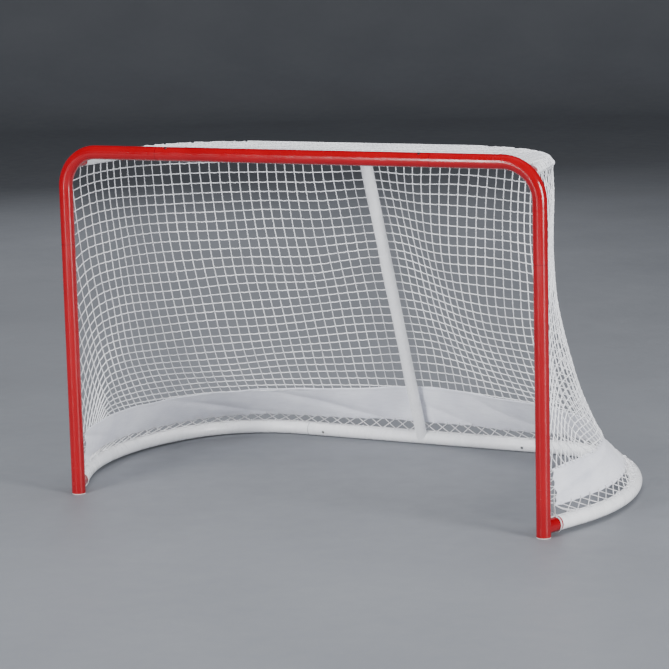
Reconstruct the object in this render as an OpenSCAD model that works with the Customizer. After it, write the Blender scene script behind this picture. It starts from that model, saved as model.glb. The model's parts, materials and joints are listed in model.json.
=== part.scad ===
// Hockey goal: a knock-down steel tube frame with a laced net and a fabric skirt.
// +X runs from one post to the other, +Y from the mouth to the back, +Z up.
// The origin is on the floor, midway between the posts and midway front to back.

/* [Frame] */
// Distance between the axes of the two posts
post_spacing = 1828.8; // [1700:1:1900]
// Height of the crossbar's axis above the floor
crossbar_z = 1280; // [1230:1:1320]
// Distance from the posts' axes back to the rear tube's axis
base_depth = 1150; // [1100:1:1200]
// Outer diameter of the posts, the crossbar and the base tubes
tube_d = 50.8; // [48:0.1:52]
// Wall thickness of every tube
wall = 1.6; // [1.2:0.1:2.5]
// Radius of the two upper corner bends, at the tube's axis
bend_r = 130; // [110:1:150]

/* [Joints] */
// Distance from a post's axis to the seam in the crossbar
crossbar_seam = 387; // [300:1:500]
// Distance from the crossbar's axis down to the seam in a post
post_seam = 341; // [250:1:450]
// Distance from the middle of the rear tube to each of its seams
base_seam = 500; // [350:1:520]
// Distance from the middle of the shelf tube to each of its seams
shelf_seam = 300; // [200:1:320]
// Length of the narrowed end that slides into the next tube
spigot = 110; // [60:1:120]
// Distance from a seam to the screw that locks it
screw_inset = 40; // [20:1:60]

/* [Base] */
// Height of the base tube's axis where it meets a post
base_front_z = 36; // [30:1:45]
// Half of the straight run of the rear tube
base_half = 540; // [500:1:580]
// Angle that the rear corner turns through
base_corner_a = 60; // [50:1:70]
// Radius of the long side bow
base_side_r = 860; // [760:1:960]
// Angle that the side bow turns through
base_side_a = 52; // [45:1:58]
// Length of the socket on a post, from the post's axis
base_stub = 74; // [60:1:90]

/* [Shelf] */
// Outer diameter of the shelf tube that holds up the net's top
shelf_d = 38.1; // [32:0.1:42]
// Distance from the crossbar's plane back to the shelf tube's axis
shelf_depth = 625; // [590:1:660]
// Radius of the shelf's corners
shelf_r = 420; // [380:1:450]
// Angle that a shelf corner turns through
shelf_a = 82; // [72:1:86]
// Length of the socket on a corner bend, from the bend's axis
shelf_stub = 56; // [45:1:70]

/* [Strut] */
// Outer diameter of the strut between the shelf and the rear tube
strut_d = 44.5; // [38:0.1:48]

/* [Net] */
// Thickness of the netting
net_t = 4; // [3:0.5:6]
// Height of the skirt's lower edge above the floor
skirt_low = 90; // [80:1:110]
// Height of the skirt's upper edge above the floor
skirt_high = 222; // [190:1:260]
// Thickness of the lacing cord
cord_d = 4; // [3:0.5:5]
// How much faster the net flares near the floor at the corners than at the middle
net_flare = 2.1; // [1:0.05:2.5]

/* [Hidden] */

$fn = 96;
eps = 0.01;
hair = 0.03;          // half of the hairline between two bars of a bent tube
neck = 4;             // length over which a tube narrows to its end
fit = 0.15;           // radial play of a narrowed end in the next tube
red = [0.72, 0.05, 0.09];
white = [0.90, 0.91, 0.93];
steel = [0.70, 0.71, 0.73];
net_colour = [0.93, 0.93, 0.95];
skirt_colour = [0.80, 0.80, 0.85];
cap_colour = [0.75, 0.74, 0.74];

tube_r = tube_d / 2;
shelf_tube_r = shelf_d / 2;
strut_r = strut_d / 2;
cord_r = cord_d / 2;
front_y = -base_depth / 2;       // plane of the posts' axes
rear_y = base_depth / 2;         // axis of the rear tube
post_x = post_spacing / 2;
bend_drop = bend_r * (1 - cos(45));
stub_x = post_x - bend_drop;     // middle of a corner bend
shelf_z = crossbar_z - bend_drop;
shelf_rear_y = front_y + shelf_depth;
cap_rim = 3;                     // thickness of the rim under a post
cap_plug = 24;
screw_r = 2.2;
screw_length = 6;
head_r = 5.2;
head_h = 2.6;
hook_r = 6.6;
wire_r = 1.3;
hook_dip = 14;                   // how far past its half turn a staple goes on, in degrees
gap = 0.3;
net_gap = tube_r + 8;            // from a post's axis back to the netting's edge
strut_clear = 14;                // how far the netting stands out to clear the strut
tile_gap = 0.0001;
side_tiles = 7;
back_tiles = 8;
net_mid_low = 470;
net_mid_high = 820;
panel_t = 0.42;                  // where the side panels of the wall meet the back
lacing_foot_z = 110;

// Staples: how many on each half, the first one's place and their spacing.
post_hooks = 9;
post_hook_z = 150;
post_hook_gap = 112;
bar_hooks = 6;
bar_hook_gap = 122;
base_hook_count = 18;
base_hook_start = 65;
base_hook_gap = 98;

// The base lies on the floor at the back and is a little higher at the posts.
base_tilt = asin((base_front_z - tube_r) / base_depth);
base_rear_z = tube_r;

// ---- outlines in plan -------------------------------------------------
// A D-shaped run from the middle of its rear, [half, r1, a1, r2, a2, tail]:
// a straight half, two arcs in a row and a straight tail.
// The corner radius and the tail follow from where the tail has to end.
base_turn = base_corner_a + base_side_a;
base_dx = post_x - base_half - base_side_r * (sin(base_turn) - sin(base_corner_a));
base_dy = base_depth - base_side_r * (cos(base_corner_a) - cos(base_turn));
base_det = sin(base_corner_a) * sin(base_turn) - cos(base_turn) * (1 - cos(base_corner_a));
base_corner_r = (base_dx * sin(base_turn) - cos(base_turn) * base_dy) / base_det;
base_tail = (sin(base_corner_a) * base_dy - (1 - cos(base_corner_a)) * base_dx) / base_det;
base_run = [base_half, base_corner_r, base_corner_a, base_side_r, base_side_a, base_tail];

shelf_tail = (shelf_depth - shelf_r * (1 - cos(shelf_a))) / sin(shelf_a);
shelf_half = stub_x - shelf_r * sin(shelf_a) - shelf_tail * cos(shelf_a);
shelf_run = [shelf_half, shelf_r, shelf_a, shelf_r, 0, shelf_tail];

function arc_len(r, a) = r * a * PI / 180;
function run_len(p) = p[0] + arc_len(p[1], p[2]) + arc_len(p[3], p[4]) + p[5];

// Point [x, y, heading] on a run, s along it from its rear middle at [0, 0].
function half_point(p, s) =
    let (l1 = arc_len(p[1], p[2]), l2 = arc_len(p[3], p[4]),
         x1 = p[0], x2 = x1 + p[1] * sin(p[2]), y2 = -p[1] * (1 - cos(p[2])), a2 = p[2] + p[4],
         x3 = x2 + p[3] * (sin(a2) - sin(p[2])), y3 = y2 - p[3] * (cos(p[2]) - cos(a2)))
    s <= x1 ? [s, 0, 0]
    : s <= x1 + l1 ? let (a = (s - x1) / l1 * p[2]) [x1 + p[1] * sin(a), -p[1] * (1 - cos(a)), a]
    : s < x1 + l1 + l2 ? let (a = p[2] + (s - x1 - l1) / l2 * p[4])
        [x2 + p[3] * (sin(a) - sin(p[2])), y2 - p[3] * (cos(p[2]) - cos(a)), a]
    : let (d = s - x1 - l1 - l2) [x3 + d * cos(a2), y3 - d * sin(a2), a2];

// The same on both sides: s is negative on the left. out moves it outwards.
function run_point(p, s, out = 0) =
    let (h = half_point(p, abs(s)), side = s < 0 ? -1 : 1)
    [side * (h[0] + out * sin(h[2])), h[1] + out * cos(h[2])];

base_len = run_len(base_run);
shelf_len = run_len(shelf_run);

// The strut runs from the front of the rear tube up to the shelf.
strut_foot_y = rear_y - 6;
strut_tilt = atan((strut_foot_y - shelf_rear_y) / (shelf_z - base_rear_z));
strut_len = (shelf_z - base_rear_z) / cos(strut_tilt);
peg_length = 85;
strut_screw_s = 62;

// ---- tubes ------------------------------------------------------------
// Solid round bar along an arc of a run that starts at the origin along +X.
// A hair is left out at each end, where a collar joins it to the next bar.
module arc_bar(r, bend, a) {
    trim = hair / bend * 180 / PI;
    translate([0, -bend, 0]) rotate([0, 0, 90 - a + trim])
        rotate_extrude(angle = a - 2 * trim) translate([bend, 0]) circle(r = r);
}

module straight_bar(r, length) {
    rotate([0, 90, 0]) cylinder(r = r, h = length);
}

// Short inner bar that bridges the hair between two bars of radius r.
module collar(r) {
    translate([-1, 0, 0]) straight_bar(r - 0.25, 2);
}

// A bar that follows a run from s = start to its end less cut.
module run_bar(p, r, start, cut) {
    s1 = p[0];
    s2 = s1 + arc_len(p[1], p[2]);
    s3 = s2 + arc_len(p[3], p[4]);
    translate([start, 0, 0]) straight_bar(r, s1 - start - hair);
    on_run(p, s1) {
        arc_bar(r, p[1], p[2]);
        collar(r);
    }
    on_run(p, s3) {
        translate([hair, 0, 0]) straight_bar(r, p[5] - cut - hair);
        collar(r);
    }
    if (p[4] > 0)
        on_run(p, s2) {
            arc_bar(r, p[3], p[4]);
            collar(r);
        }
}

// Side tube of a run: open at both ends, narrowed ends at its seam and its socket.
module run_side(p, r, seam, cut, tail_spigot) {
    tail_s = run_len(p) - cut;
    difference() {
        union() {
            run_bar(p, r, seam, cut);
            translate([seam - spigot, 0, 0]) straight_bar(r - wall - fit, spigot + 1);
            on_run(p, tail_s) translate([-1, 0, 0]) straight_bar(r - wall - fit, tail_spigot + 1);
        }
        run_bar(p, r - wall, seam + neck, cut + neck);
        translate([seam - spigot - 1, 0, 0])
            straight_bar(r - 2 * wall - fit, spigot + neck + 2);
        on_run(p, tail_s)
            translate([-neck - 1, 0, 0]) straight_bar(r - 2 * wall - fit, tail_spigot + neck + 2);
    }
}

// ---- screws and hooks -------------------------------------------------
// Pan-head screw: its head stands on z = 0 and its shank goes down.
module screw(length) {
    difference() {
        union() {
            translate([0, 0, -length]) cylinder(r = screw_r, h = length + eps);
            cylinder(r = head_r, h = head_h / 2);
            translate([0, 0, head_h / 2]) cylinder(r1 = head_r, r2 = head_r * 0.6, h = head_h / 2);
        }
        translate([0, 0, head_h]) cube([head_r, 1, head_h], center = true);
        translate([0, 0, head_h]) cube([1, head_r, head_h], center = true);
    }
}

// Hole for a screw, through the wall of a tube and of the narrowed end in it.
module screw_hole() {
    translate([0, 0, -screw_length - 1]) cylinder(r = screw_r + 0.1, h = screw_length + 2);
}

// Wire staple across the top of a lengthways tube: the cord runs under it.
module hook(r) {
    difference() {
        rotate([90, 0, 90]) rotate([0, 0, -hook_dip])
            rotate_extrude(angle = 180 + 2 * hook_dip) translate([hook_r, 0]) circle(r = wire_r);
        translate([-hook_r, 0, -r]) straight_bar(r, 2 * hook_r);
    }
}

// ---- places -----------------------------------------------------------
// The base's own plane: the origin is the middle of the rear tube's axis.
module in_base() {
    translate([0, rear_y, base_rear_z]) rotate([-base_tilt, 0, 0]) children();
}

module in_shelf() {
    translate([0, shelf_rear_y, shelf_z]) children();
}

// Mirrors to the left for side = -1.
module on_side(side) {
    if (side < 0) mirror([1, 0, 0]) children();
    else children();
}

// On a run's axis, s from its middle, with +X along it.
module on_run(p, s) {
    h = half_point(p, s);
    translate([h[0], h[1], 0]) rotate([0, 0, -h[2]]) children();
}

// On the strut's axis, s up from its foot, with +Z along it.
module on_strut(s) {
    translate([0, strut_foot_y, base_rear_z]) rotate([strut_tilt, 0, 0])
        translate([0, 0, s]) children();
}

module at_crossbar_screw() {
    translate([post_x - crossbar_seam - screw_inset, front_y, crossbar_z])
        rotate([30, 0, 0]) translate([0, 0, tube_r]) children();
}

module at_post_screw() {
    translate([post_x, front_y, crossbar_z - post_seam - screw_inset])
        rotate([-90, 0, 0]) translate([0, 0, tube_r]) children();
}

module at_base_screw() {
    in_base() translate([base_seam - 1.75 * screw_inset, 0, 0])
        rotate([100, 0, 0]) translate([0, 0, tube_r]) children();
}

module at_base_stub_screw() {
    in_base() on_run(base_run, base_len - base_stub + screw_inset / 2)
        rotate([100, 0, 0]) translate([0, 0, tube_r]) children();
}

module at_shelf_screw() {
    in_shelf() translate([shelf_seam - screw_inset, 0, 0])
        rotate([180, 0, 0]) translate([0, 0, shelf_tube_r]) children();
}

module at_shelf_stub_screw() {
    in_shelf() on_run(shelf_run, shelf_len - shelf_stub + screw_inset / 4)
        rotate([180, 0, 0]) translate([0, 0, shelf_tube_r]) children();
}

// The strut's screws face the back.
module at_strut_screws() {
    for (s = [strut_screw_s, strut_len - strut_screw_s])
        on_strut(s) rotate([-90, 0, 0]) translate([0, 0, strut_r]) children();
}

// ---- red frame --------------------------------------------------------
module crossbar() {
    color(red) difference() {
        translate([-post_x + crossbar_seam, front_y, crossbar_z])
            straight_bar(tube_r, post_spacing - 2 * crossbar_seam);
        translate([-post_x, front_y, crossbar_z])
            straight_bar(tube_r - wall, post_spacing);
        for (side = [-1, 1]) on_side(side) at_crossbar_screw() screw_hole();
    }
}

// Elbow bar of radius r: its arms end at arm_x and arm_z from the bend's centre.
module elbow(r, arm_x, arm_z) {
    translate([post_x - bend_r, front_y, crossbar_z - bend_r]) rotate([90, 0, 0]) {
        rotate_extrude(angle = 90) translate([bend_r, 0]) circle(r = r);
        translate([-arm_x, bend_r, 0]) straight_bar(r, arm_x);
        translate([bend_r, 0, 0]) rotate([90, 0, 0]) cylinder(r = r, h = arm_z);
    }
}

// Upper corner: two arms with narrowed ends, and the socket for the shelf.
module corner() {
    arm_x = crossbar_seam - bend_r;
    arm_z = post_seam - bend_r;
    difference() {
        union() {
            elbow(tube_r, arm_x, arm_z);
            elbow(tube_r - wall - fit, arm_x + spigot, arm_z + spigot);
            in_shelf() on_run(shelf_run, shelf_len)
                translate([-shelf_stub, 0, 0]) straight_bar(shelf_tube_r, shelf_stub);
        }
        elbow(tube_r - 2 * wall - fit, arm_x + spigot + 1, arm_z + spigot + 1);
        in_shelf() on_run(shelf_run, shelf_len)
            translate([-shelf_stub - 1, 0, 0]) straight_bar(shelf_tube_r - wall, shelf_stub);
        at_crossbar_screw() screw_hole();
        at_post_screw() screw_hole();
        at_shelf_stub_screw() screw_hole();
    }
}

module corner_left() color(red) on_side(-1) corner();
module corner_right() color(red) corner();

// Lower post with the socket for the base.
module post() {
    difference() {
        union() {
            translate([post_x, front_y, cap_rim])
                cylinder(r = tube_r, h = crossbar_z - post_seam - cap_rim);
            difference() {
                in_base() on_run(base_run, base_len)
                    translate([-base_stub, 0, 0]) straight_bar(tube_r, base_stub);
                translate([post_x, front_y, -tube_d]) cylinder(r = tube_r, h = tube_d);
            }
        }
        translate([post_x, front_y, -1]) cylinder(r = tube_r - wall, h = crossbar_z);
        in_base() on_run(base_run, base_len)
            translate([-base_stub - 1, 0, 0]) straight_bar(tube_r - wall, base_stub);
        at_post_screw() screw_hole();
        at_base_stub_screw() screw_hole();
    }
}

module post_left() color(red) on_side(-1) post();
module post_right() color(red) post();

// Plug under a post: a rim that stands on the floor and a hollow plug.
module post_cap() {
    translate([post_x, front_y, 0]) difference() {
        union() {
            cylinder(r = tube_r - 0.4, h = cap_rim);
            cylinder(r = tube_r - wall - fit, h = cap_plug);
        }
        translate([0, 0, cap_rim]) cylinder(r = tube_r - 3 * wall, h = cap_plug);
    }
}

module post_cap_left() color(cap_colour) on_side(-1) post_cap();
module post_cap_right() color(cap_colour) post_cap();

// ---- white base -------------------------------------------------------
module base_side() {
    difference() {
        in_base() run_side(base_run, tube_r, base_seam, base_stub, base_stub - tube_r - 4);
        at_base_screw() screw_hole();
        at_base_stub_screw() screw_hole();
    }
}

module base_left() color(white) on_side(-1) base_side();
module base_right() color(white) base_side();

// Rear tube, with the peg that the strut's foot slides over.
module base_centre() {
    color(white) difference() {
        union() {
            in_base() translate([-base_seam, 0, 0]) straight_bar(tube_r, 2 * base_seam);
            on_strut(0) cylinder(r = strut_r - wall - fit, h = peg_length);
        }
        in_base() translate([-base_seam - 1, 0, 0]) straight_bar(tube_r - wall, 2 * base_seam + 2);
        on_strut(0) cylinder(r = strut_r - 2 * wall - fit, h = peg_length + 1);
        for (side = [-1, 1]) on_side(side) at_base_screw() screw_hole();
        at_strut_screws() screw_hole();
    }
}

// ---- white shelf and strut --------------------------------------------
module shelf_side() {
    difference() {
        in_shelf() run_side(shelf_run, shelf_tube_r, shelf_seam, shelf_stub, shelf_stub - tube_r);
        at_shelf_screw() screw_hole();
        at_shelf_stub_screw() screw_hole();
    }
}

module shelf_left() color(white) on_side(-1) shelf_side();
module shelf_right() color(white) shelf_side();

// Middle of the shelf, with the peg that the strut's top slides over.
module shelf_centre() {
    color(white) difference() {
        union() {
            in_shelf() translate([-shelf_seam, 0, 0]) straight_bar(shelf_tube_r, 2 * shelf_seam);
            on_strut(strut_len - peg_length) cylinder(r = strut_r - wall - fit, h = peg_length);
        }
        in_shelf() translate([-shelf_seam - 1, 0, 0])
            straight_bar(shelf_tube_r - wall, 2 * shelf_seam + 2);
        on_strut(strut_len - peg_length - 1)
            cylinder(r = strut_r - 2 * wall - fit, h = peg_length + 1);
        for (side = [-1, 1]) on_side(side) at_shelf_screw() screw_hole();
        at_strut_screws() screw_hole();
    }
}

// Slanted strut, cut to saddle the rear tube below and the shelf above.
module strut() {
    color(white) difference() {
        on_strut(0) cylinder(r = strut_r, h = strut_len);
        on_strut(-1) cylinder(r = strut_r - wall, h = strut_len + 2);
        in_base() translate([-base_seam, 0, 0]) straight_bar(tube_r, 2 * base_seam);
        in_shelf() translate([-shelf_seam, 0, 0]) straight_bar(shelf_tube_r, 2 * shelf_seam);
        at_strut_screws() screw_hole();
    }
}

// ---- fasteners --------------------------------------------------------
module frame_screws() {
    color(steel) for (side = [-1, 1]) on_side(side) {
        at_crossbar_screw() screw(screw_length);
        at_post_screw() screw(screw_length);
    }
}

module base_screws() {
    color(steel) for (side = [-1, 1]) on_side(side) {
        at_base_screw() screw(screw_length);
        at_base_stub_screw() screw(screw_length);
    }
}

module shelf_screws() {
    color(steel) for (side = [-1, 1]) on_side(side) {
        at_shelf_screw() screw(screw_length);
        at_shelf_stub_screw() screw(screw_length);
    }
}

module strut_screws() {
    color(steel) at_strut_screws() screw(screw_length);
}

// Staples on the backs of the posts and the crossbar.
module front_hooks() {
    color(red) for (side = [-1, 1]) on_side(side) {
        for (i = [0 : post_hooks - 1])
            translate([post_x, front_y + tube_r, post_hook_z + i * post_hook_gap])
                rotate([-90, 0, 0]) rotate([0, 0, 90]) hook(tube_r);
        for (i = [0 : bar_hooks - 1])
            translate([(i + 0.5) * bar_hook_gap, front_y + tube_r, crossbar_z])
                rotate([-90, 0, 0]) hook(tube_r);
    }
}

// Staples along the top of the base, clear of the strut and the seams.
module base_hooks() {
    color(white) in_base() for (side = [-1, 1]) on_side(side)
        for (i = [0 : base_hook_count - 1])
            on_run(base_run, base_hook_start + i * base_hook_gap)
                translate([0, 0, tube_r]) hook(tube_r);
}

// ---- netting and skirt ------------------------------------------------
// Axis height of the base tube at a distance from the front.
function base_z(y) = base_rear_z + (rear_y - y) * tan(base_tilt);

// Smooth step from 0 at a to 1 at b.
function smooth(a, b, x) = let (u = min(1, max(0, (x - a) / (b - a)))) u * u * (3 - 2 * u);

// Front edge of the side netting: up behind a post, then in along the bend.
function edge_x(z) =
    z < crossbar_z - bend_r ? post_x
    : post_x - bend_r + sqrt(bend_r * bend_r - pow(min(z, shelf_z) - crossbar_z + bend_r, 2));

// Point of the wall of netting: t from -1 at the left post to 1 at the right.
// out moves it outwards. It hangs from the shelf and flares towards the floor.
function wall_point(t, z, out) =
    let (side = t < 0 ? -1 : 1, u = abs(t), off = out + strut_clear * (1 - smooth(0.02, 0.2, u)),
         b = run_point(base_run, u * (base_len - net_gap), off),
         s = run_point(shelf_run, u * (shelf_len - net_gap), off + shelf_tube_r + 1),
         low = base_rear_z + tube_r, v = min(1, max(0, (z - low) / (shelf_z - low))),
         f = pow(1 - v, 1 + net_flare * smooth(0, 0.45, u)),
         x = s[0] + (b[0] - s[0]) * f,
         y = (shelf_rear_y + s[1]) * (1 - f) + (rear_y + b[1]) * f,
         w = smooth(0.8, 1, u))
    [side * (x + w * (edge_x(z) + out - x)), y + w * (front_y + net_gap - y), z];

// Curved slab of the wall, t0 to t1 across and z0(y) or low to high in height.
module wall_slab(t0, t1, low, high, out, thick, nt, nz) {
    function height(t, j) =
        let (y = wall_point(t, high, out)[1],
             b = run_point(base_run, abs(t) * base_len)[1] + rear_y,
             z0 = max(low, base_z(b) + tube_r + cord_d + 1))
        z0 + (high - z0) * j / nz;
    points = [for (k = [0, 1]) for (i = [0 : nt]) for (j = [0 : nz])
        let (t = t0 + (t1 - t0) * i / nt) wall_point(t, height(t, j), out - k * thick)];
    m = nz + 1;
    n = (nt + 1) * m;
    faces = concat(
        [for (i = [0 : nt - 1]) for (j = [0 : nz - 1]) for (f = [
            [i * m + j, i * m + j + 1, (i + 1) * m + j + 1],
            [i * m + j, (i + 1) * m + j + 1, (i + 1) * m + j],
            [n + i * m + j, n + (i + 1) * m + j + 1, n + i * m + j + 1],
            [n + i * m + j, n + (i + 1) * m + j, n + (i + 1) * m + j + 1]]) f],
        [for (i = [0 : nt - 1]) for (e = [[i * m, (i + 1) * m], [(i + 1) * m + nz, i * m + nz]])
            for (f = [[e[0], e[1], n + e[1]], [e[0], n + e[1], n + e[0]]]) f],
        [for (j = [0 : nz - 1]) for (e = [[j + 1, j], [nt * m + j, nt * m + j + 1]])
            for (f = [[e[0], e[1], n + e[1]], [e[0], n + e[1], n + e[0]]]) f]);
    polyhedron(points, faces);
}

// A stretch of the wall as small, nearly flat tiles, so that each one stops a
// shot without filling the hollow beside it. heights are the tiles' edges.
module tiled(t0, t1, columns, heights, thick) {
    step = (t1 - t0) / columns;
    for (i = [0 : columns - 1]) for (j = [0 : len(heights) - 2])
        wall_slab(t0 + i * step + tile_gap, t0 + (i + 1) * step - tile_gap,
                  heights[j] + gap / 2, heights[j + 1] - gap / 2, 0, thick, 3, 2);
}

// A panel of the net: above the skirt, and the row of mesh below it.
module net_panel(t0, t1, columns) {
    color(net_colour) {
        tiled(t0, t1, columns, [skirt_high, net_mid_low, net_mid_high, shelf_z], net_t);
        tiled(t0, t1, columns, [0, skirt_low], net_t);
    }
}

module skirt_panel(t0, t1, columns) {
    color(skirt_colour) tiled(t0, t1, columns, [skirt_low, skirt_high], net_t - 1);
}

module net_left() net_panel(-1, -panel_t, side_tiles);
module net_back() net_panel(-panel_t, panel_t, back_tiles);
module net_right() net_panel(panel_t, 1, side_tiles);
module skirt_left() skirt_panel(-1, -panel_t, side_tiles);
module skirt_back() skirt_panel(-panel_t, panel_t, back_tiles);
module skirt_right() skirt_panel(panel_t, 1, side_tiles);

// Top panel: from the back of the crossbar over the shelf.
module net_top() {
    steps = 24;
    edge = [for (i = [-steps : steps])
        let (p = run_point(shelf_run, i / steps * (shelf_len - 2 * net_gap), shelf_tube_r - 1))
        [p[0], p[1] + shelf_rear_y]];
    front = front_y + tube_r + hook_r + 2 * wire_r;
    color(net_colour) translate([0, 0, shelf_z + shelf_tube_r + gap])
        linear_extrude(net_t - 1)
        polygon(concat([[-stub_x + net_gap, front]], edge, [[stub_x - net_gap, front]]));
}

// ---- cords ------------------------------------------------------------
// Cord under the staples behind the posts and the crossbar.
module lacing_front() {
    color(net_colour) for (side = [-1, 1]) on_side(side)
        translate([0, tube_r + cord_r + 0.2, 0])
            elbow(cord_r, post_x - bend_r, crossbar_z - bend_r - lacing_foot_z);
}

// Cord under the staples along the top of the base.
module lacing_base() {
    color(net_colour) in_base() translate([0, 0, tube_r + cord_r + 0.2])
        for (side = [-1, 1]) on_side(side) run_bar(base_run, cord_r, 0, net_gap);
}

// Two turns of cord round the socket at the foot of a post.
module tie() {
    for (i = [0, 1])
        in_base() on_run(base_run, base_len - base_stub + 12 + i * (cord_d + 0.2))
            rotate([0, 90, 0]) rotate_extrude() translate([tube_r + cord_r, 0]) circle(r = cord_r - 0.1);
}

module tie_left() color(net_colour) on_side(-1) tie();
module tie_right() color(net_colour) tie();

crossbar();
corner_left();
corner_right();
post_left();
post_right();
post_cap_left();
post_cap_right();
base_left();
base_centre();
base_right();
shelf_left();
shelf_centre();
shelf_right();
strut();
frame_screws();
base_screws();
shelf_screws();
strut_screws();
front_hooks();
base_hooks();
net_left();
net_back();
net_right();
net_top();
skirt_left();
skirt_back();
skirt_right();
lacing_front();
lacing_base();
tie_left();
tie_right();
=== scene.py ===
"""Looks of a hockey goal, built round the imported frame: paint, netting, skirt and lacing."""
import json
import math

import bpy
import numpy as np
from mathutils import Matrix, Vector


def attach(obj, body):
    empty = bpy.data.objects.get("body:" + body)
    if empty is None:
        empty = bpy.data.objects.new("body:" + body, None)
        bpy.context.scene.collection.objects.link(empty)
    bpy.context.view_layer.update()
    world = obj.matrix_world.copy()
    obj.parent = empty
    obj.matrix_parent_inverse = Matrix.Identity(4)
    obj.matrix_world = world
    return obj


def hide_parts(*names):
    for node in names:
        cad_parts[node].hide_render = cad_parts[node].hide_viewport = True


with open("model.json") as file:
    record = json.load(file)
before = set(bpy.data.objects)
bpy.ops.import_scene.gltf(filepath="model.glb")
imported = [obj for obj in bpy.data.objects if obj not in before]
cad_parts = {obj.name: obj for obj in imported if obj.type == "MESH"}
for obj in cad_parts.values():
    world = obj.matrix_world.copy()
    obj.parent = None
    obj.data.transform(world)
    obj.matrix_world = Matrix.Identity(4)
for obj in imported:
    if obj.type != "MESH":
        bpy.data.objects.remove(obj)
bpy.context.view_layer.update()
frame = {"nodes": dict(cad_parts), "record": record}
nodes = frame["nodes"]
rng = np.random.default_rng(7)

# ---------------------------------------- sizes, in metres
TUBE_R = 0.0254
SHELF_TUBE_R = 0.01905
CORD_R = 0.002
FRONT_Y = -0.575
REAR_Y = 0.575
POST_X = 0.9144
CROSSBAR_Z = 1.28
ELBOW_Z = 0.939         # seam between a post and its corner
CROSSBAR_END = 0.5274   # seam between the crossbar and its corner
BEND_R = 0.13
SHELF_Z = 1.24192
SHELF_REAR_Y = 0.05
BASE_REAR_Z = 0.0254
BASE_SEAM_X = 0.5       # seams on each side of the rear tube and of the shelf's middle
SHELF_SEAM_X = 0.3
BASE_TILT = math.radians(0.528125)
NET_GAP = 0.0334
STRUT_CLEAR = 0.014
NET_FLARE = 2.1
# A run: half its straight rear, radius and angle of two bends, the straight end.
BASE_RUN = (0.540, 0.451801, math.radians(60), 0.860, math.radians(52), 0.185441)
SHELF_RUN = (0.423385, 0.420, math.radians(82), 0.420, 0.0, 0.266042)
PANEL_T = 0.42
SKIRT_LOW = 0.090
SKIRT_HIGH = 0.222
SKIRT_CROWN = 0.030     # how much further up the skirt reaches at the back
MESH = 0.038            # one side of a mesh of the net, knot to knot
TWINE_R = 0.0020
BORDER_R = 0.0025       # cord along the net's edge
LACE_R = 0.0017         # cord of the zigzags and the loose ends
THIN_LACE_R = 0.0015
LACE_PITCH = 0.058      # from one hole in the skirt's lower hem to the next
SKIN = 0.0002           # air between a cord and the tube it lies on
ON_TUBE = TUBE_R + CORD_R + SKIN    # from a tube's axis to the axis of a cord on it


# ---------------------------------------- the wall of netting
TINY = 1e-12            # keeps a division by a vector's length safe


def run_length(run):
    return run[0] + run[1] * run[2] + run[3] * run[4] + run[5]


BASE_LEN = run_length(BASE_RUN)
SHELF_LEN = run_length(SHELF_RUN)


def half_point(run, s):
    """x, y and heading s along a run from the middle of its rear, for an array of s."""
    half, r1, a1, r2, a2, _ = run
    s = np.asarray(s, float)
    l1, l2 = r1 * a1, r2 * a2
    turn = a1 + a2
    x2, y2 = half + r1 * math.sin(a1), -r1 * (1 - math.cos(a1))
    x3 = x2 + r2 * (math.sin(turn) - math.sin(a1))
    y3 = y2 - r2 * (math.cos(a1) - math.cos(turn))
    first = np.clip(s - half, 0, l1) / r1
    second = a1 + (np.clip(s - half - l1, 0, l2) / r2 if r2 * a2 > 0 else 0 * s)
    tail = s - half - l1 - l2
    x = np.where(s <= half, s, half + r1 * np.sin(first))
    y = np.where(s <= half, 0, -r1 * (1 - np.cos(first)))
    a = np.where(s <= half, 0, first)
    on2 = (s > half + l1) & (tail <= 0)
    x = np.where(on2, x2 + r2 * (np.sin(second) - math.sin(a1)), x)
    y = np.where(on2, y2 - r2 * (math.cos(a1) - np.cos(second)), y)
    a = np.where(on2, second, a)
    x = np.where(tail > 0, x3 + tail * math.cos(turn), x)
    y = np.where(tail > 0, y3 - tail * math.sin(turn), y)
    return x, y, np.where(tail > 0, turn, a)


def run_point(run, s, out=0.0):
    x, y, a = half_point(run, s)
    return x + out * np.sin(a), y + out * np.cos(a)


def smooth(a, b, x):
    u = np.clip((np.asarray(x, float) - a) / (b - a), 0, 1)
    return u * u * (3 - 2 * u)


def base_z(y):
    return BASE_REAR_Z + (REAR_Y - y) * math.tan(BASE_TILT)


def edge_x(z):
    rise = np.clip(np.minimum(z, SHELF_Z) - CROSSBAR_Z + BEND_R, 0, None)
    return POST_X - BEND_R + np.sqrt(BEND_R ** 2 - rise ** 2)


CLEAR_FADE = (0.02, 0.2)    # shares of the way forward over which the room for the strut ends,
FLARE_FADE = (0, 0.45)      # the flare sets in,
EDGE_FADE = (0.8, 1)        # and the wall turns in to the post


def inner_wall(u, z, out):
    """Points of the wall at share u of the way from the middle of the back to the post."""
    off = out + STRUT_CLEAR * (1 - smooth(*CLEAR_FADE, u))
    bx, by = run_point(BASE_RUN, u * (BASE_LEN - NET_GAP), off)
    sx, sy = run_point(SHELF_RUN, u * (SHELF_LEN - NET_GAP), off + SHELF_TUBE_R + 0.001)
    low = BASE_REAR_Z + TUBE_R
    v = np.clip((z - low) / (SHELF_Z - low), 0, 1)
    f = (1 - v) ** (1 + NET_FLARE * smooth(*FLARE_FADE, u))
    x = sx + (bx - sx) * f
    y = (SHELF_REAR_Y + sy) * (1 - f) + (REAR_Y + by) * f
    w = smooth(*EDGE_FADE, u)
    return np.stack([x + w * (edge_x(z) + out - x), y + w * (FRONT_Y + NET_GAP - y),
                     np.asarray(z, float) + 0 * x], -1)


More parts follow.
